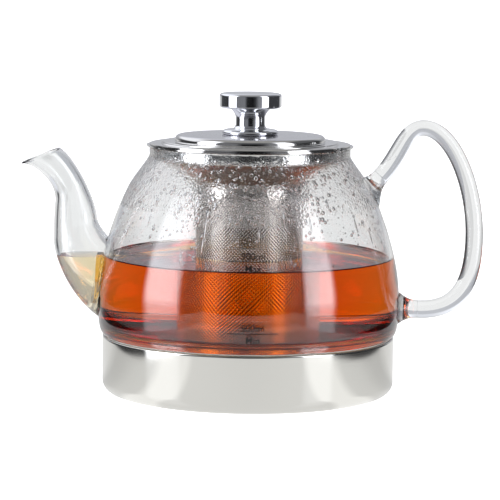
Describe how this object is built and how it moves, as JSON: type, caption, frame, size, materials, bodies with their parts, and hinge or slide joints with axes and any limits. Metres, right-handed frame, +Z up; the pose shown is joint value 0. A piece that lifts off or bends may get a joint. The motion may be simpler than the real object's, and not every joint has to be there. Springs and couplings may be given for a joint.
{
  "type": "glass teapot",
  "caption": "Clear blown-glass teapot with a steel cup base, bent glass handle, spout, lift-out perforated infuser and a stepped steel lid with a waisted knob.",
  "frame": {"origin": "centre of the base's flat underside, on the table", "axes": "+Z up along the pot's axis, +X towards the handle, -X towards the spout"},
  "size_m": [0.2153, 0.1408, 0.1399],
  "materials": {
    "clear_glass": "clear blown borosilicate glass, fire-polished",
    "base_steel": "polished stainless steel, lightly satin",
    "silicone": "translucent white silicone, matt",
    "aluminium": "rolled aluminium sheet",
    "magnetic_steel": "ground ferritic stainless steel",
    "fired_enamel": "black ceramic ink fired on to the glass",
    "polished_steel": "bright polished stainless steel",
    "perforated_steel": "photo-etched perforated stainless sheet",
    "lid_steel": "pressed stainless steel, polished step and satin top",
    "chrome": "turned and chrome-plated, mirror bright",
    "fastener_steel": "plain stainless fastener"
  },
  "bodies": {
    "pot": {"glass_body": "clear_glass", "glass_spout": "clear_glass", "glass_handle": "clear_glass", "handle_weld_upper": "clear_glass", "handle_weld_lower": "clear_glass", "steel_base": "base_steel", "base_seal": "silicone", "heat_spreader": "aluminium", "induction_plate": "magnetic_steel", "fill_marks": "fired_enamel"},
    "infuser": {"infuser_flange": "polished_steel", "infuser_sleeve": "perforated_steel", "infuser_bottom": "perforated_steel"},
    "lid": {"lid_cover": "lid_steel", "lid_plug": "polished_steel", "lid_seal": "silicone", "knob": "chrome", "knob_collar": "chrome", "knob_screw": "fastener_steel", "screw_washer": "fastener_steel"}
  },
  "joints": [
    {"name": "infuser_lift", "type": "slide", "parent": "pot", "child": "infuser", "axis": [0, 0, 1], "range_m": [0, 0.11]},
    {"name": "lid_lift", "type": "slide", "parent": "infuser", "child": "lid", "axis": [0, 0, 1], "range_m": [0, 0.05]}
  ]
}
